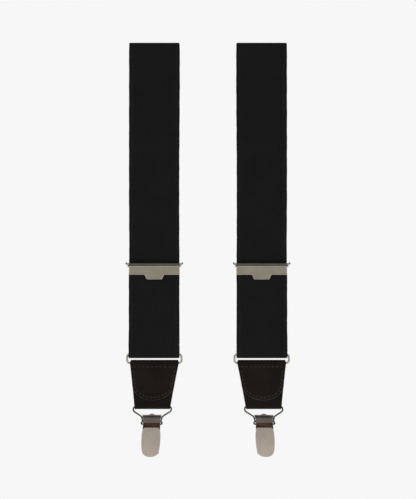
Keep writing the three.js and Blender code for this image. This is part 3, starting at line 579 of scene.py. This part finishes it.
# ---- stitching ----------------------------------------------------------------------------------
def stitches(path, out, length, gap, radius, lift):
    """Capsules laid end to end along a path: each is a six-sided wire, thinner at its ends and
    sunk at them, standing out along the given direction."""
    s = distance_along(path)
    count = max(1, int(s[-1] // (length + gap)))
    pitch = s[-1] / count
    middle = (np.arange(count) + 0.5) * pitch

    def at(place):
        return np.stack([np.interp(place, s, path[:, i]) for i in range(3)], -1)

    share = np.array([-1, -0.8, -0.3, 0.3, 0.8, 1])
    width = np.array([0.25, 0.8, 1, 1, 0.8, 0.25]) * radius
    sink = lift * np.array([-0.9, -0.1, 1, 1, -0.1, -0.9])
    centre = at(middle[:, None] + share * length / 2)
    along = centre[:, -1] - centre[:, 0]
    along /= np.linalg.norm(along, axis=1, keepdims=True)
    out = np.broadcast_to(np.array(out, float), along.shape)
    beside = np.cross(along, out)
    angle = np.arange(6) * PI / 3
    ring = np.cos(angle)[:, None] * beside[:, None] + np.sin(angle)[:, None] * out[:, None]
    rows = centre + sink[:, None] * out[:, None]
    grids = rows[:, :, None] + width[:, None, None] * ring[:, None]
    return list(grids)


def inset_line(outline, depth):
    """A line that runs depth inside an open outline, to its right as it is walked."""
    along = tangents(outline)
    return outline + depth * np.stack([along[:, 1], -along[:, 0]], 1)


PATCH_STITCH = (2.3, 0.7, 0.28, 0.12)             # length, gap, radius and lift
TAB_ROW_STITCH = (2.2, 0.7, 0.24, 0.1)
TAB_EDGE_STITCH = (2.0, 0.7, 0.24, 0.1)
SEAM_INSET = 2.2                                  # of the patch's seams from its edge

whole_edge = np.concatenate([patch_edge[::-1] * [-1, 1], patch_edge])
edge_line = inset_line(whole_edge, SEAM_INSET)
seams = []
for y, facing in ((PATCH_OUTER_Y, 1), (PATCH_INNER_Y, -1)):
    flat = PATCH_THICK / 2 - PATCH_PRESSED
    surface = y + facing * (flat + over_straps(edge_line[:, 0], edge_line[:, 1]))
    loop = np.column_stack([edge_line[:, 0], surface, edge_line[:, 1]])
    seams += stitches(loop, (0, facing, 0), *PATCH_STITCH)
    low_x = np.linspace(-13.5, 13.5, 30)
    low_y = y + facing * (PATCH_THICK / 2 + 0.15)
    low = np.column_stack([low_x, np.full(30, low_y), np.full(30, PATCH_BOTTOM + SEAM_INSET)])
    seams += stitches(low, (0, facing, 0), *PATCH_STITCH)
    top_x = np.linspace(-20, 20, 40)
    top_z = np.full(40, PATCH_TOP - SEAM_INSET)
    top_y = y + facing * (flat + over_straps(top_x, top_z))
    seams += stitches(np.column_stack([top_x, top_y, top_z]), (0, facing, 0), *PATCH_STITCH)
make("back_patch_stitching", seams, "harness", thread, sharp=80)


# ---- adjusters ----------------------------------------------------------------------------------
FACE_XZ = ((1, 0, 0), (0, 0, 1), (0, -1, 0))      # outline x, outline up, height to the front
FACE_YZ = ((0, 1, 0), (0, 0, 1), (1, 0, 0))       # side view, height along +X
LEVER_PIN_Y = -2.6
FRAME_HALF = 18.7             # outside of the adjuster's ears
EAR_SHEET = 0.7               # thickness of the ears and lugs


def side_strip(view, half, thick, edge, columns=24, ends=0.3):
    """A strip carried along a side view; half is a number or depends on the height."""
    path, across, normal = side_path(close_ends(np.asarray(view, float), ends), 0.0)
    wide = half(path[:, 2]) if callable(half) else half
    return strip(path, across, normal, wide, thick, edge, columns, ends)[0]


LEVER_HALF = 17.65
lever_outline = smooth_loop(
    [(-LEVER_HALF, -0.75), (-LEVER_HALF, -7.5), (-6.8, -7.5), (-5.4, -10.7),
     (5.4, -10.7), (6.8, -7.5), (LEVER_HALF, -7.5), (LEVER_HALF, -0.75)],
    [0.1, 1.0, 0.5, 0.9, 0.9, 0.5, 1.0, 0.1])
ear_side = smooth_loop(
    [(1.85, -2.0), (1.85, -0.5), (-2.3, 0.95), (-3.6, 0.75), (-3.6, -0.9), (-2.3, -1.15)],
    [0.2, 0.6, 0.9, 0.8, 0.8, 0.6], 5)
channel_view = np.concatenate([
    line((1.45, -8.0), (1.45, -1.65), 0.6), arc((2.9, -1.65), 1.45, PI, 0, 14),
    line((4.35, -1.65), (4.35, -8.0), 0.6)[1:], [[4.35, -8.0]],
])
flange_outline = smooth_loop(
    [(-FRAME_HALF, -2.0), (FRAME_HALF, -2.0), (FRAME_HALF, -0.6), (-FRAME_HALF, -0.6)], 0.2, 3)


def upright(view, y):
    """A front view (x, z) as points at one depth."""
    return np.column_stack([view[:, 0], np.full(len(view), y), view[:, 1]])


def straight_rod(half, radius, y, z):
    """A round rod along X with domed ends."""
    x = np.linspace(-half, half, 12)
    return tube(upright(np.column_stack([x, np.full(12, z)]), y), radius, (0, 1, 0))


# the raised rim pressed into the lever plate, just inside its sides and the finger tab's edge; it catches
# the light, and its lighter satin plate is a painted highlight
rim_view = smooth_line(
    [(-17.2, -1.6), (-17.2, -7.05), (-6.5, -7.05), (-5.1, -10.25),
     (5.1, -10.25), (6.5, -7.05), (17.2, -7.05), (17.2, -1.6)],
    [0, 0.8, 0.5, 0.8, 0.8, 0.5, 0.8, 0], 4)
plate_rim = tube(upright(rim_view, -2.2), 0.26, (0, 1, 0))
# the pin's ends are bent up into hooks outside the ears
pin_view = smooth_line(
    [(19.1, 1.25), (19.55, 0.85), (19.5, 0), (17, 0), (-17, 0), (-19.5, 0), (-19.55, 0.85), (-19.1, 1.25)],
    [0, 0.3, 0.6, 0.1, 0.1, 0.6, 0.3, 0])


for name, side in (("left", -1), ("right", 1)):
    at = np.array([side * STRAP_X, 0, ADJUSTER_Z])
    face = slab(lever_outline, 1.5, 2.3, 0.28, FACE_XZ)
    curl = side_strip(arc((LEVER_PIN_Y, 0), 0.69, -0.4 * PI, 1.2 * PI, 34), LEVER_HALF, 0.4, 0.18)
    make(f"{name}_lever_plate", face + at, f"{name}_lever", brushed, sharp=40,
         replaces=[f"{name}_adjuster_lever"])
    # the curl is in the darker nickel: painted shade
    make(f"{name}_lever_roll", curl + at, f"{name}_lever", shade_painted_plate, sharp=40)
    # the ridges along the top and round the rim are in the lighter satin plate: a painted highlight
    rims = [straight_rod(17.5, 0.28, -2.25, -1.5), plate_rim]
    make(f"{name}_lever_ridge", [rim + at for rim in rims], f"{name}_lever", satin)
    wire = upright(pin_view, LEVER_PIN_Y)
    make(f"{name}_lever_pin", tube(wire + at, 0.4, (0, 1, 0)), f"{name}_adjuster",
         gunmetal, replaces=[f"{name}_adjuster_pin"])
    ears = [slab(ear_side, low, low + EAR_SHEET, 0.15, FACE_YZ)
            for low in (-FRAME_HALF, FRAME_HALF - EAR_SHEET)]
    flange = slab(flange_outline, -1.85, -1.05, 0.15, FACE_XZ)
    channel = side_strip(channel_view, 17.0, SHEET, 0.25)
    make(f"{name}_adjuster_channel", [grid + at for grid in [channel, flange, *ears]], f"{name}_adjuster",
         satin, sharp=45, replaces=[f"{name}_adjuster_frame"])


# ---- strap ends ---------------------------------------------------------------------------------
ENDS = (("left", -STRAP_X, WRAP_RADIUS, False, -LEAN), ("right", STRAP_X, WRAP_RADIUS, False, LEAN),
        ("rear", 0.0, BACK_Y - WRAP_RADIUS, True, 0.0))


def hang(grid, end, level):
    """Puts a grid of the ring, tab, bail or clip in its place on a strap's end. Tab, bail and
    clip lean outwards by a share of their drop."""
    _, x, y, turned, lean = end
    grid = grid.copy()
    if level == "clip":
        grid[..., 2] -= TAB_LENGTH + BAIL_TO_CLIP
    if level != "ring":
        grid[..., 0] -= lean * grid[..., 2]
    if turned:
        grid[..., :2] *= -1
    return grid + [x, y, RING_BAR_Z - RING_PITCH]


RING_HALF, RING_RADIUS, RING_CORNER = 18.95, 0.7, 2.3
ring_line = np.concatenate([
    arc((RING_HALF - RING_CORNER, RING_PITCH - RING_CORNER), RING_CORNER, 0, PI / 2, 10),
    arc((RING_CORNER - RING_HALF, RING_PITCH - RING_CORNER), RING_CORNER, PI / 2, PI, 10),
    arc((RING_CORNER - RING_HALF, RING_CORNER), RING_CORNER, PI, 1.5 * PI, 10),
    arc((RING_HALF - RING_CORNER, RING_CORNER), RING_CORNER, 1.5 * PI, 2 * PI, 10),
])
ring_wire = tube(upright(ring_line, 0.0), RING_RADIUS, (0, 1, 0), closed=True, sides=18)

tab_side = curve3((17.1, 0.8), (14.4, -15.9), (12.3, -31.85), 24)
FLAP_TURN, FLAP_HALF, FLAP_ROUND = -13.8, 14.8, 11.8


def tab_half(z):
    """Half width of the leather at a height: a tapering side with its top corners cut off."""
    return np.interp(-z, -tab_side[:, 1], tab_side[:, 0]) - 0.6 * np.clip(z - 0.8, 0, 1.2)


def flap_half(z):
    """Half width of the front flap: the leather's own, then half an ellipse."""
    down = np.clip((FLAP_TURN - z) / FLAP_ROUND, 0, 1)
    return np.minimum(tab_half(z), np.where(z < FLAP_TURN, FLAP_HALF * np.sqrt(1 - down ** 2), 99))


under = np.concatenate([
    line((-0.62, -4.5), (-0.62, -26.5), 1),
    smooth_line([(-0.62, -26.5), (-0.8, -28), (-1.32, -29.6)], 1, 3),
    arc((0, -TAB_LENGTH), 1.35, PI, 2 * PI, 16)[1:-1],
    smooth_line([(1.32, -29.6), (0.8, -28), (0.62, -26.5)], 1, 3), line((0.62, -26), (0.62, -5), 1),
    smooth_line([(0.62, -5), (0.9, -3), (1.48, -0.4)], 1, 3),
])
flap_down = FLAP_TURN - FLAP_ROUND * np.sin(np.linspace(0.04, PI / 2, 26))
over = np.concatenate([
    arc((0, 0), 1.5, 0, PI, 16, 1.3), smooth_line([(-1.56, -0.8), (-1.58, -2), (-1.6, -4)], 1, 2),
    line((-1.6, -4.8), (-1.6, FLAP_TURN), 1), np.column_stack([np.full(26, -1.6), flap_down]),
])


def leather_tab():
    """One strip: up from under the flap, round the bail's bar, up the back, over the ring's bar and
    down again as the flap, each part as wide as the outline at its height."""
    view = np.concatenate([under, over])
    path, across, normal = side_path(view, 0.0)
    first_part = np.arange(len(view)) < len(under) + 16
    half = np.where(first_part, tab_half(path[:, 2]), flap_half(path[:, 2]))
    return strip(path, across, normal, np.maximum(half, 0.3), 0.96, 0.28, 30, 0.25)[0]


def tab_seams():
    """A row across below the ring, and a row that follows the flap's edge 2 mm inside it."""
    x = np.linspace(-15.2, 15.2, 30)
    row = np.column_stack([x, np.full(30, -2.08), np.full(30, -2.3)])
    z = np.linspace(-4.5, FLAP_TURN, 12)
    turn = np.linspace(0, PI, 40)[1:-1]
    right = np.column_stack([tab_half(z) - 2.0, z])
    round_end = np.column_stack([(FLAP_HALF - 2) * np.cos(turn),
                                 FLAP_TURN - (FLAP_ROUND - 2) * np.sin(turn)])
    left = right[::-1] * [-1, 1]
    loop = np.concatenate([right, round_end, left])
    loop = np.column_stack([loop[:, 0], np.full(len(loop), -2.08), loop[:, 1]])
    return stitches(row, (0, -1, 0), *TAB_ROW_STITCH) + stitches(loop, (0, -1, 0), *TAB_EDGE_STITCH)


# the flap's edge: a thin bead along the half ellipse in lighter leather, a painted highlight, kept inside
# the leather's sides
flap_turn = np.linspace(-0.06 * PI, 1.06 * PI, 60)
flap_line = np.column_stack([(FLAP_HALF - 0.1) * np.cos(flap_turn), np.full(60, -1.92),
                             FLAP_TURN - (FLAP_ROUND - 0.1) * np.sin(flap_turn)])
side_limit = tab_half(flap_line[:, 2]) - 0.2
flap_line[:, 0] = np.clip(flap_line[:, 0], -side_limit, side_limit)
flap_edge = tube(flap_line, 0.27, (0, 1, 0))

# half of the bail, from its bar down beside the hood to the end turned into the clip's ear
bail_half = [(13.1, -30), (13.3, -33.1), (7.3, -36.9), (6.5, -39.2), (6.5, -40.6), (7.35, -41.5),
             (6.9, -42.3), (5.05, -42.3)]
bail_round = [2, 1.4, 1.3, 0.8, 0.7, 0.5, 0.4, 0]
bail_line = smooth_line([(-x, z) for x, z in bail_half[::-1]] + bail_half, bail_round[::-1] + bail_round)
bail_wire = tube(upright(bail_line, 0.0), 0.55, (0, 1, 0))

HOOD_MIDDLE, HOOD_R = 3.7, 2.4
HOOD_HALF = 6.65              # half width of the hood's top; the cover's is about the same
EAR_INSIDE, LUG_OUTSIDE = 5.35, 5.05
# half width of the body by height: a rounded foot, the back plate, the neck and the hood
body_heights = np.array([-22, -21.6, -21, -20, -19, -6, -2, 0.9, 2.5, 4.2, 5.4, 7])
body_halves = np.array([2.65, 4.2, 4.85, 5.35, 5.55, 6.15, 5.4, 5.35, 5.7, 6.15, 6.65, 6.7])
hood_view = np.concatenate([
    line((HOOD_R, -22), (HOOD_R, -18.5), 0.25), line((HOOD_R, -18.5), (HOOD_R, HOOD_MIDDLE), 0.8),
    arc((0, HOOD_MIDDLE), HOOD_R, 0, PI, 24), line((-HOOD_R, HOOD_MIDDLE), (-HOOD_R, 0.9), 0.4)[1:],
    [[-HOOD_R, 0.9]],
])
ear_view = np.concatenate([
    smooth_loop(
        [(2.4, 2.4), (-1.2, 2.4), (-1.3, 0.3), (-1.15, -0.45), (-0.75, -0.85), (-0.3, -1.15), (-0.94, -2.2)],
        [0.1, 0.5, 0.3, 0.2, 0.2, 0.2, 0.05], 3)[:-2],
    arc((-1.65, -2.9), 1.0, 0.25 * PI, 1.22 * PI, 14),
    [(-2.1, -5.3), (-2.1, -6.6), (-1.9, -7.4), (-1.5, -7.9), (2.4, -7.9)],
])
LUG_R = 1.25
lug_view = np.concatenate([
    [(-3.7, -7.1), (-2.6, -5.6)], arc((-1.65, -2.9), LUG_R, -0.35 * PI, 0.55 * PI, 14),
    [(-3.3, -2.2), (-3.6, -2.6)],
])
cover_top, cover_bottom = -2.1, -22.7
cover_edge = np.concatenate([
    curve3((4.45, cover_top), (5.5, cover_top - 0.05), (6.35, cover_top - 3.0), 10),
    curve3((6.35, cover_top - 3.0), (6.75, cover_top - 6), (6.55, cover_top - 11), 10)[1:],
    curve3((6.55, cover_top - 11), (6.35, cover_top - 15.5), (5.75, cover_top - 17.2), 10)[1:],
    curve3((5.75, cover_top - 17.2), (4.6, cover_bottom + 0.05), (0.0, cover_bottom), 16)[1:],
])


def cover_plate():
    """Rows down the cover, each as wide as its oval outline, on a shallow arch that bulges forward
    in the middle; its sides fall back with the square of the distance from the middle."""
    z = np.concatenate([cover_top - np.array([0, 0.05, 0.15, 0.3, 0.6, 1.0, 1.5, 2.0]),
                        np.linspace(cover_top - 2.6, cover_bottom + 3.4, 26),
                        cover_bottom + 3.4 * (1 - np.sin(np.linspace(0.1, PI / 2, 22)))])
    share = (cover_top - z) / (cover_top - cover_bottom)
    y = -3.7 - 1.4 * 2 * share * (1 - share) + SHEET / 2
    half = np.interp(-z, -cover_edge[:, 1], cover_edge[:, 0])
    path, across, normal = side_path(np.column_stack([y, z]), 0.0)
    grid, _ = strip(path, across, normal, np.maximum(half, 0.25), SHEET, 0.34, 24, 0.3)
    grid[..., 1] += 0.1 * (grid[..., 0] / HOOD_HALF) ** 2 - 0.08
    return grid


# the pressed boss on top of the hood and a ridge below it, both in the lighter plate, the ridge a painted
# highlight along the hood's top; and the body's inside, painted dark brown as shade
boss = slab(arc((0, 5.0), 2.9, 0, 2 * PI, 32, 0.8)[:-1], -1.0, 1.0, 0.4, FACE_XZ)
hood_ridge = straight_rod(6.2, 0.45, -1.5, 5.9)
inside_outline = smooth_loop([(-5.25, -5.4), (5.25, -5.4), (5.25, 4.4), (-5.25, 4.4)], 0.4, 3)
inside_face = slab(inside_outline, -1.98, -1.74, 0.08, FACE_XZ)


for end in ENDS:
    name = end[0]
    make(f"{name}_ring_wire", hang(ring_wire, end, "ring"), f"{name}_ring_loop", bright,
         closed=True, replaces=[f"{name}_ring"])
    make(f"{name}_tab_leather", hang(leather_tab(), end, "tab"), f"{name}_tab", leather,
         replaces=[f"{name}_leather_tab"])
    make(f"{name}_tab_stitching", [hang(g, end, "tab") for g in tab_seams()], f"{name}_tab",
         thread, sharp=80)
    # the bead's lighter leather is a painted highlight along the flap's edge
    make(f"{name}_flap_edge", hang(flap_edge, end, "tab"), f"{name}_tab", edge_highlight_leather)
    make(f"{name}_bail_wire", hang(bail_wire, end, "tab"), f"{name}_bail_loop", gunmetal,
         replaces=[f"{name}_bail"])
    hood = side_strip(hood_view, lambda z: np.interp(z, body_heights, body_halves), SHEET, 0.3, 26, 0.3)
    # the hood's front bulges by up to 0.3 mm, less with the square of the distance from its middle
    forward = np.clip(-hood[..., 1] / HOOD_R, 0, 1)
    hood[..., 1] -= 0.3 * forward * (1 - (hood[..., 0] / HOOD_HALF) ** 2)
    ears = [slab(ear_view, low, low + EAR_SHEET, 0.15, FACE_YZ)
            for low in (-EAR_INSIDE - EAR_SHEET, EAR_INSIDE)]
    body = f"{name}_clip"
    # hood and ears are in the darker nickel: painted shade
    make(f"{name}_clip_shell", [hang(grid, end, "clip") for grid in [hood, *ears]], body,
         shade_painted_plate, sharp=45, replaces=[f"{name}_clip_body"])
    # boss and ridge in the lighter plate; the ridge is a painted highlight along the hood's top
    make(f"{name}_clip_boss", [hang(grid, end, "clip") for grid in (boss, hood_ridge)], body,
         brushed, sharp=45)
    # the body's inside is painted dark brown as the shade behind the cover
    make(f"{name}_clip_inside", hang(inside_face, end, "clip"), body, shade_painted_steel, sharp=45)
    make(f"{name}_clip_rivet", hang(straight_rod(6.3, 0.5, -1.65, -2.9), end, "clip"), body,
         bright, replaces=[f"{name}_clip_pin"])
    lugs = [slab(lug_view, low, low + EAR_SHEET, 0.12, FACE_YZ)
            for low in (-LUG_OUTSIDE, LUG_OUTSIDE - EAR_SHEET)]
    make(f"{name}_cover_plate", [hang(grid, end, "clip") for grid in [cover_plate(), *lugs]],
         f"{name}_cover", satin, sharp=45, replaces=[f"{name}_clip_cover"])
    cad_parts[f"{name}_clip_tongue"].data.materials.clear()
    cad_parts[f"{name}_clip_tongue"].data.materials.append(satin)
    for grip in ("front_grip", "back_grip"):
        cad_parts[f"{name}_{grip}"].data.materials.clear()
        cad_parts[f"{name}_{grip}"].data.materials.append(ivory)


# ---- stand, floor, light and camera ---------------------------------------------------------------
PAPER = "#F7F7F7"
FLOOR_Z = -360.0
board = painted_wood("white lacquered board", "#EDEDEA", 0.42)
lit_board = painted_wood("evenly lit white card", PAPER, 1.0, 0.0)


def stand_part(name, low, high, rounding_radius, material):
    """A board between two corners with its long edges rounded; its outline lies in the side view."""
    corners = [(low[1], low[2]), (high[1], low[2]), (high[1], high[2]), (low[1], high[2])]
    outline = smooth_loop(corners, rounding_radius, 8)
    part = make(name, slab(outline, low[0], high[0], 0.6, FACE_YZ), None, material, sharp=60)


stand_part("stand_front_bar", (-53.5, 1.4, -14), (53.5, 16.1, -1.9), 3.0, board)
stand_part("stand_back_bar", (-53.5, 25.0, -12), (53.5, 30.0, -1.9), 2.3, board)
stand_part("stand_bridge", (-17, 10, -12), (17, 29, -5), 0.8, board)
stand_part("stand_post", (-20.0, 8.5, FLOOR_Z), (20.0, 13.5, -6), 0.8, board)
stand_part("stand_card", (-20.1, 8.1, -352), (20.1, 8.4, -14), 0.1, lit_board)
stand_part("stand_label", (-20.1, 1.0, -14.2), (20.1, 1.3, -1.6), 0.1, lit_board)
stand_part("stand_foot", (-75, -45, FLOOR_Z), (75, 75, FLOOR_Z + 8), 2.0, board)

floor_edge = arc((0, 0), 600.0, 0, 2 * PI, 96)[:-1]
FACE_FLOOR = ((1, 0, 0), (0, 1, 0), (0, 0, 1))
paper_floor = painted_wood("seamless white paper", PAPER, 0.5, 0.4)
make("floor", slab(floor_edge, FLOOR_Z - 4, FLOOR_Z - 0.05, 1.0, FACE_FLOOR), None, paper_floor, sharp=60)

world = bpy.data.worlds.new("studio")
bpy.context.scene.world = world
world.use_nodes = True
tree = world.node_tree
tree.nodes.clear()
direction = add(tree, "ShaderNodeTexCoord").outputs["Generated"]
split = add(tree, "ShaderNodeSeparateXYZ", {"Vector": direction}).outputs
height = add(tree, MATH, (split["Z"], 0.5, 0.5), operation="MULTIPLY_ADD")
# brightness of the studio from straight down (0) to straight up (1), which the metal reflects
grey = [(place, (value, value, value, 1)) for place, value in
        ((0.0, 0.24), (0.35, 0.37), (0.5, 0.52), (0.62, 0.45), (0.75, 0.25), (1.0, 0.14))]
sky = add(tree, "ShaderNodeBackground", {"Color": add(tree, RAMP, (height,), grey), "Strength": 1.0})
paper = add(tree, "ShaderNodeBackground", {"Color": colour(PAPER), "Strength": 1.0})
seen = add(tree, "ShaderNodeLightPath").outputs["Is Camera Ray"]
mixed = add(tree, "ShaderNodeMixShader", (seen, sky, paper))
add(tree, "ShaderNodeOutputWorld", {"Surface": mixed})


def soft_light(name, place, size, power):
    """A square soft box that faces the middle of the hanging pair."""
    data = bpy.data.lights.new(name, "AREA")
    data.size = size
    data.energy = power
    lamp = bpy.data.objects.new(name, data)
    bpy.context.scene.collection.objects.link(lamp)
    target = np.array([0, 0.01, -0.14])
    away = np.array(place) - target
    lamp.location = place
    tilt = math.acos(away[2] / np.linalg.norm(away))
    lamp.rotation_euler = (tilt, 0, math.atan2(away[1], away[0]) + PI / 2)


soft_light("key", (-0.9, -1.3, 0.7), 0.7, 3.0)
soft_light("fill", (1.1, -1.0, 0.2), 0.8, 1.5)
soft_light("back", (0.5, 1.3, 0.6), 0.7, 8.0)

camera = bpy.data.objects.new("camera", bpy.data.cameras.new("camera"))
bpy.context.scene.collection.objects.link(camera)
camera.location = (0, -3.0, -0.14345)
camera.rotation_euler = (PI / 2, 0, 0)
camera.data.sensor_width = 36
camera.data.lens = 311.4
camera.data.clip_start = 0.1
camera.data.clip_end = 20
bpy.context.scene.camera = camera
bpy.context.scene.view_settings.view_transform = "Standard"
